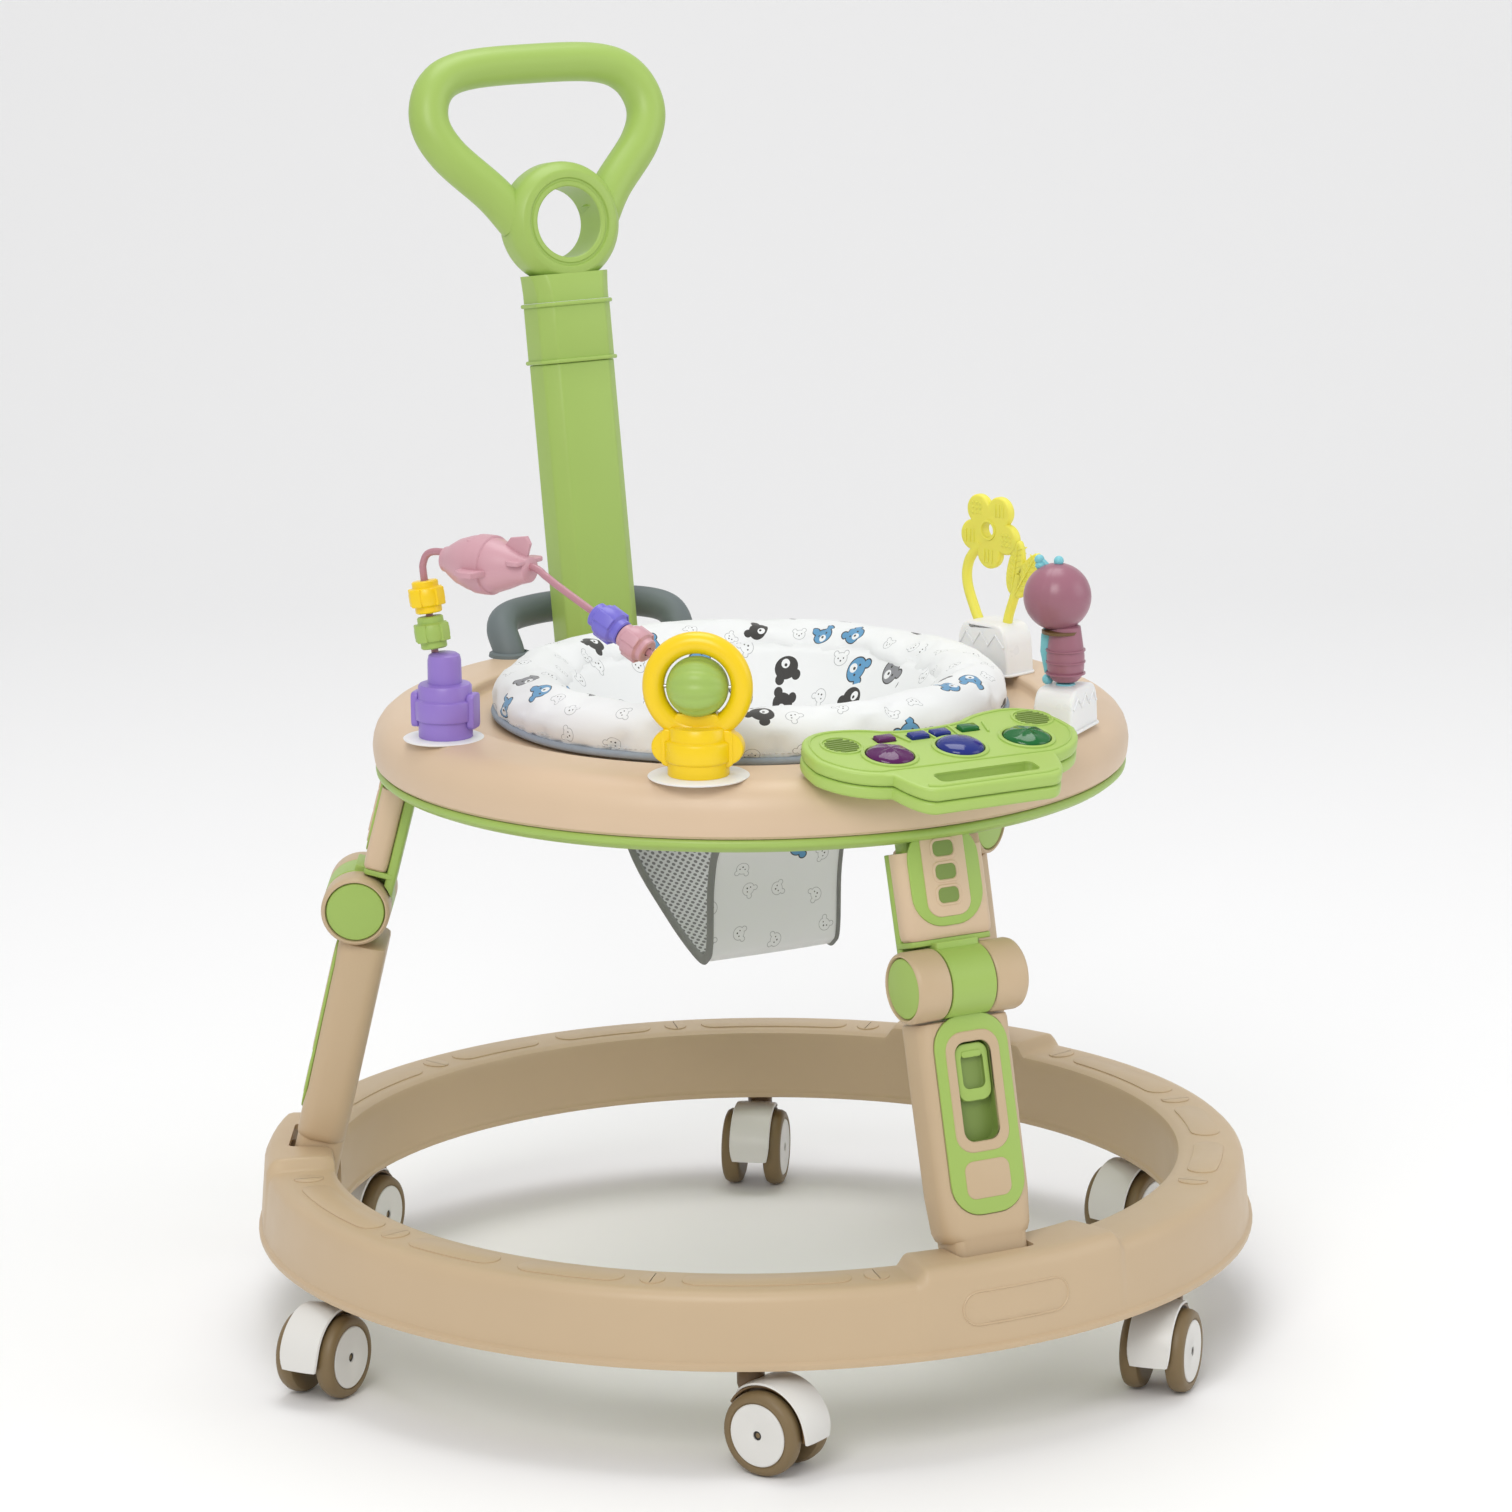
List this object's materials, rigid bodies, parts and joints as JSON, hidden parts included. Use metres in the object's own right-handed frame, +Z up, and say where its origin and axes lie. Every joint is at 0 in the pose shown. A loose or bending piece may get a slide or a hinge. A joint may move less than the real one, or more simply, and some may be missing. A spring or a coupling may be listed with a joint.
{
  "type": "baby walker",
  "caption": "Folding baby walker: round base ring on casters, jointed legs, round play tray with hanging seat, toys and a push handle.",
  "frame": {"origin": "on the floor, under the middle of the footprint in X and Y", "axes": "+Z up; -Y towards the front leg and the piano toy, +Y towards the push handle; +X towards the flower toy's side"},
  "size_m": [0.7285, 0.7, 0.8685],
  "materials": {
    "tray_beige": "smooth moulded",
    "base_sand": "smooth moulded",
    "lime_plastic": "satin",
    "piano_lime": "satin",
    "wheel_brown": "satin",
    "fork_brown": "semi-gloss",
    "seat_fabric": "woven",
    "rail_grey": "matte",
    "toy_yellow": "semi-gloss",
    "toy_pale_yellow": "soft matte",
    "toy_purple": "semi-gloss",
    "toy_violet": "semi-gloss",
    "toy_pink": "semi-gloss",
    "wire_pink": "semi-gloss",
    "toy_mauve": "semi-gloss",
    "toy_white": "semi-gloss",
    "button_purple": "glossy",
    "button_blue": "glossy",
    "button_green": "glossy"
  },
  "bodies": {
    "base": {"base_ring": "base_sand"},
    "caster_front_right": {"caster_fork_front_right": "fork_brown"},
    "wheels_front_right": {"caster_wheels_front_right": "wheel_brown"},
    "caster_front_left": {"caster_fork_front_left": "fork_brown"},
    "wheels_front_left": {"caster_wheels_front_left": "wheel_brown"},
    "caster_left": {"caster_fork_left": "fork_brown"},
    "wheels_left": {"caster_wheels_left": "wheel_brown"},
    "caster_rear_left": {"caster_fork_rear_left": "fork_brown"},
    "wheels_rear_left": {"caster_wheels_rear_left": "wheel_brown"},
    "caster_rear_right": {"caster_fork_rear_right": "fork_brown"},
    "wheels_rear_right": {"caster_wheels_rear_right": "wheel_brown"},
    "caster_right": {"caster_fork_right": "fork_brown"},
    "wheels_right": {"caster_wheels_right": "wheel_brown"},
    "lower_leg_front": {"lower_leg_front": "base_sand", "knee_pin_front": "lime_plastic"},
    "latch_front": {"latch_slider_front": "lime_plastic"},
    "upper_leg_front": {"upper_leg_core_front": "lime_plastic", "upper_leg_shell_front": "tray_beige"},
    "lower_leg_right": {"lower_leg_right": "base_sand", "knee_pin_right": "lime_plastic"},
    "latch_right": {"latch_slider_right": "lime_plastic"},
    "upper_leg_right": {"upper_leg_core_right": "lime_plastic", "upper_leg_shell_right": "tray_beige"},
    "lower_leg_left": {"lower_leg_left": "base_sand", "knee_pin_left": "lime_plastic"},
    "latch_left": {"latch_slider_left": "lime_plastic"},
    "upper_leg_left": {"upper_leg_core_left": "lime_plastic", "upper_leg_shell_left": "tray_beige"},
    "tray": {"tray_top": "tray_beige", "tray_bottom": "lime_plastic", "seat_rim": "seat_fabric", "seat_sling": "seat_fabric", "push_bar": "lime_plastic", "push_bar_coupler": "lime_plastic", "push_head": "lime_plastic", "rear_rail": "rail_grey", "piano_case_top": "piano_lime", "piano_case_bottom": "piano_lime", "arch_base": "toy_purple", "arch_wire": "wire_pink", "hoop_stand": "toy_yellow", "flower_base": "toy_white", "flower_stems": "toy_pale_yellow", "bug_base": "toy_white"},
    "dome_purple": {"piano_dome_purple": "button_purple"},
    "dome_blue": {"piano_dome_blue": "button_blue"},
    "dome_green": {"piano_dome_green": "button_green"},
    "key_purple": {"piano_key_purple": "button_purple"},
    "key_blue_1": {"piano_key_blue_1": "button_blue"},
    "key_blue_2": {"piano_key_blue_2": "button_blue"},
    "key_green": {"piano_key_green": "button_green"},
    "bead_green": {"bead_green": "lime_plastic"},
    "bead_yellow": {"bead_yellow": "toy_yellow"},
    "bead_pink": {"bead_pink": "toy_pink"},
    "bead_violet": {"bead_violet": "toy_violet"},
    "plane": {"toy_plane": "toy_pink"},
    "ball": {"spinner_ball": "lime_plastic"},
    "bug": {"toy_bug": "toy_mauve"}
  },
  "joints": [
    {"name": "swivel_front_right", "type": "hinge", "parent": "base", "child": "caster_front_right", "pos_m": [0.1781, -0.28284, 0.06], "axis": [0, 0, 1], "continuous": true},
    {"name": "roll_front_right", "type": "hinge", "parent": "caster_front_right", "child": "wheels_front_right", "pos_m": [0.16294, -0.29589, 0.0285], "axis": [0.6521, -0.7581, 0], "continuous": true},
    {"name": "swivel_front_left", "type": "hinge", "parent": "base", "child": "caster_front_left", "pos_m": [-0.1485, -0.28284, 0.06], "axis": [0, 0, 1], "continuous": true},
    {"name": "roll_front_left", "type": "hinge", "parent": "caster_front_left", "child": "wheels_front_left", "pos_m": [-0.13983, -0.30086, 0.0285], "axis": [0.9011, 0.4337, 0], "continuous": true},
    {"name": "swivel_left", "type": "hinge", "parent": "base", "child": "caster_left", "pos_m": [-0.3118, 0, 0.06], "axis": [0, 0, 1], "continuous": true},
    {"name": "roll_left", "type": "hinge", "parent": "caster_left", "child": "wheels_left", "pos_m": [-0.32863, -0.01081, 0.0285], "axis": [0.5402, -0.8415, 0], "continuous": true},
    {"name": "swivel_rear_left", "type": "hinge", "parent": "base", "child": "caster_rear_left", "pos_m": [-0.1485, 0.28284, 0.06], "axis": [0, 0, 1], "continuous": true},
    {"name": "roll_rear_left", "type": "hinge", "parent": "caster_rear_left", "child": "wheels_rear_left", "pos_m": [-0.16474, 0.27117, 0.0285], "axis": [0.5835, -0.8121, 0], "continuous": true},
    {"name": "swivel_rear_right", "type": "hinge", "parent": "base", "child": "caster_rear_right", "pos_m": [0.1781, 0.28284, 0.06], "axis": [0, 0, 1], "continuous": true},
    {"name": "roll_rear_right", "type": "hinge", "parent": "caster_rear_right", "child": "wheels_rear_right", "pos_m": [0.16543, 0.26737, 0.0285], "axis": [0.7738, -0.6334, 0], "continuous": true},
    {"name": "swivel_right", "type": "hinge", "parent": "base", "child": "caster_right", "pos_m": [0.3414, 0, 0.06], "axis": [0, 0, 1], "continuous": true},
    {"name": "roll_right", "type": "hinge", "parent": "caster_right", "child": "wheels_right", "pos_m": [0.32338, -0.00867, 0.0285], "axis": [0.4337, -0.9011, 0], "continuous": true},
    {"name": "front_leg_fold", "type": "hinge", "parent": "base", "child": "lower_leg_front", "pos_m": [0.0148, -0.314, 0.095], "axis": [-1, 0, 0], "range_deg": [0, 58]},
    {"name": "front_knee", "type": "hinge", "parent": "lower_leg_front", "child": "upper_leg_front", "pos_m": [0.0148, -0.2747, 0.30153], "axis": [1, 0, 0], "range_deg": [0, 146]},
    {"name": "front_latch_slide", "type": "slide", "parent": "lower_leg_front", "child": "latch_front", "axis": [0, -0.2334, -0.9724], "range_m": [0, 0.024], "stiffness_N_per_m": 200, "springref_m": -0.006},
    {"name": "right_leg_fold", "type": "hinge", "parent": "base", "child": "lower_leg_right", "pos_m": [0.28673, 0.157, 0.095], "axis": [0.5, -0.866, 0], "range_deg": [0, 58]},
    {"name": "right_knee", "type": "hinge", "parent": "lower_leg_right", "child": "upper_leg_right", "pos_m": [0.2527, 0.13735, 0.30153], "axis": [-0.5, 0.866, 0], "range_deg": [0, 146]},
    {"name": "right_latch_slide", "type": "slide", "parent": "lower_leg_right", "child": "latch_right", "axis": [0.2022, 0.1167, -0.9724], "range_m": [0, 0.024], "stiffness_N_per_m": 200, "springref_m": -0.006},
    {"name": "left_leg_fold", "type": "hinge", "parent": "base", "child": "lower_leg_left", "pos_m": [-0.25713, 0.157, 0.095], "axis": [0.5, 0.866, 0], "range_deg": [0, 58]},
    {"name": "left_knee", "type": "hinge", "parent": "lower_leg_left", "child": "upper_leg_left", "pos_m": [-0.2231, 0.13735, 0.30153], "axis": [-0.5, -0.866, 0], "range_deg": [0, 146]},
    {"name": "left_latch_slide", "type": "slide", "parent": "lower_leg_left", "child": "latch_left", "axis": [-0.2022, 0.1167, -0.9724], "range_m": [0, 0.024], "stiffness_N_per_m": 200, "springref_m": -0.006},
    {"name": "tray_hinge", "type": "hinge", "parent": "upper_leg_front", "child": "tray", "pos_m": [0.0148, -0.233, 0.42106], "axis": [-1, 0, 0], "range_deg": [0, 88]},
    {"name": "press_dome_purple", "type": "slide", "parent": "tray", "child": "dome_purple", "axis": [0, 0.1822, -0.9833], "range_m": [0, 0.0025], "stiffness_N_per_m": 400, "springref_m": -0.001},
    {"name": "press_dome_blue", "type": "slide", "parent": "tray", "child": "dome_blue", "axis": [0, 0.1822, -0.9833], "range_m": [0, 0.0025], "stiffness_N_per_m": 400, "springref_m": -0.001},
    {"name": "press_dome_green", "type": "slide", "parent": "tray", "child": "dome_green", "axis": [0, 0.1822, -0.9833], "range_m": [0, 0.0025], "stiffness_N_per_m": 400, "springref_m": -0.001},
    {"name": "press_key_purple", "type": "slide", "parent": "tray", "child": "key_purple", "axis": [0, 0.1822, -0.9833], "range_m": [0, 0.002], "stiffness_N_per_m": 300, "springref_m": -0.001},
    {"name": "press_key_blue_1", "type": "slide", "parent": "tray", "child": "key_blue_1", "axis": [0, 0.1822, -0.9833], "range_m": [0, 0.002], "stiffness_N_per_m": 300, "springref_m": -0.001},
    {"name": "press_key_blue_2", "type": "slide", "parent": "tray", "child": "key_blue_2", "axis": [0, 0.1822, -0.9833], "range_m": [0, 0.002], "stiffness_N_per_m": 300, "springref_m": -0.001},
    {"name": "press_key_green", "type": "slide", "parent": "tray", "child": "key_green", "axis": [0, 0.1822, -0.9833], "range_m": [0, 0.002], "stiffness_N_per_m": 300, "springref_m": -0.001},
    {"name": "spin_bead_green", "type": "hinge", "parent": "tray", "child": "bead_green", "pos_m": [-0.22076, 0.01717, 0.51136], "axis": [-0.067, 0.145, 0.9872], "continuous": true},
    {"name": "spin_bead_yellow", "type": "hinge", "parent": "tray", "child": "bead_yellow", "pos_m": [-0.22239, 0.0207, 0.53536], "axis": [-0.067, 0.145, 0.9872], "continuous": true},
    {"name": "spin_bead_pink", "type": "hinge", "parent": "tray", "child": "bead_pink", "pos_m": [-0.14863, -0.13899, 0.52273], "axis": [0.3759, -0.8139, -0.4429], "continuous": true},
    {"name": "slide_bead_violet", "type": "slide", "parent": "tray", "child": "bead_violet", "axis": [-0.3759, 0.8139, 0.4429], "range_m": [0, 0.024]},
    {"name": "spin_plane", "type": "hinge", "parent": "tray", "child": "plane", "pos_m": [-0.19979, -0.02823, 0.56626], "axis": [0.4193, -0.9079, 0], "continuous": true},
    {"name": "spin_ball", "type": "hinge", "parent": "tray", "child": "ball", "pos_m": [-0.12769, -0.18435, 0.49936], "axis": [0.7912, -0.6115, 0], "continuous": true},
    {"name": "spin_bug", "type": "hinge", "parent": "tray", "child": "bug", "pos_m": [0.1528, -0.19, 0.48036], "axis": [0, 0, 1], "continuous": true}
  ],
  "couplings": [
    {"joint": "front_knee", "follows": "front_leg_fold", "ratio": 2.51},
    {"joint": "right_knee", "follows": "front_leg_fold", "ratio": 2.51},
    {"joint": "right_leg_fold", "follows": "front_leg_fold", "ratio": 1},
    {"joint": "left_knee", "follows": "front_leg_fold", "ratio": 2.51},
    {"joint": "left_leg_fold", "follows": "front_leg_fold", "ratio": 1},
    {"joint": "tray_hinge", "follows": "front_leg_fold", "ratio": 1.51}
  ]
}
